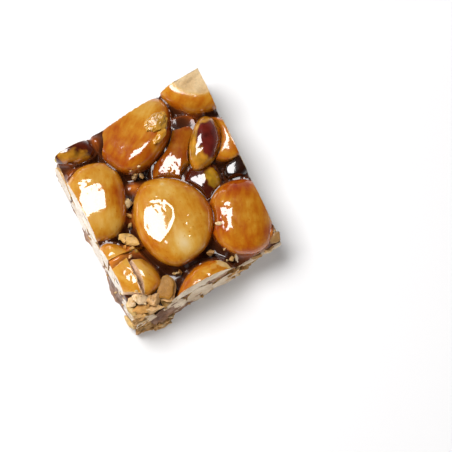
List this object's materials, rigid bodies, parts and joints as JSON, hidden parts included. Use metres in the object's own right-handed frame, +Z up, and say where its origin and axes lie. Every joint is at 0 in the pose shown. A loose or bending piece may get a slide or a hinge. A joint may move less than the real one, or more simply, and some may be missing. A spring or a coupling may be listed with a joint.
{
  "type": "hard nougat piece",
  "caption": "Hand-cut square of hard caramel nougat: whole glazed almonds and pistachios set in dark glossy caramel, with cut nuts showing along rough sides.",
  "frame": {"origin": "under the middle of the piece, on the plane of its underside", "axes": "+Z up; the front cut side faces -Y and runs along X; the other cut sides lean a little from X and Y"},
  "size_m": [0.0458, 0.0472, 0.0141],
  "materials": {
    "caramel": "dark brown hard caramel, glossy on top, rough and craggy on the cut sides",
    "glazed_almond": "blanched almond under a thin glossy amber caramel glaze",
    "glazed_pistachio": "pistachio kernel with purple-brown skin and olive flesh under a glossy glaze",
    "cut_nut": "cut almond flesh, cream to tan, dry and slightly rough"
  },
  "bodies": {
    "root": {"caramel": "caramel", "almond_centre": "glazed_almond", "almond_back": "glazed_almond", "almond_left": "glazed_almond", "almond_back_right": "glazed_almond", "almond_front_right": "glazed_almond", "almond_front": "glazed_almond", "almond_right": "glazed_almond", "almond_sunk": "glazed_almond", "almond_split_back": "glazed_almond", "almond_split_outer": "glazed_almond", "almond_split_inner": "glazed_almond", "pistachio_right": "glazed_pistachio", "pistachio_back_left": "glazed_pistachio", "pistachio_middle": "glazed_pistachio", "pistachio_edge": "glazed_pistachio", "front_nut_1": "cut_nut", "front_nut_2": "cut_nut", "front_nut_3": "cut_nut", "front_nut_4": "cut_nut", "front_nut_5": "cut_nut", "front_nut_6": "cut_nut", "right_nut_1": "cut_nut", "right_nut_2": "cut_nut", "right_nut_3": "cut_nut", "right_nut_4": "cut_nut", "right_nut_5": "cut_nut", "back_nut_1": "cut_nut", "back_nut_2": "cut_nut", "back_nut_3": "cut_nut", "back_nut_4": "cut_nut", "left_nut_1": "cut_nut", "left_nut_2": "cut_nut", "left_nut_3": "cut_nut", "left_nut_4": "cut_nut", "left_nut_5": "cut_nut"}
  },
  "joints": []
}
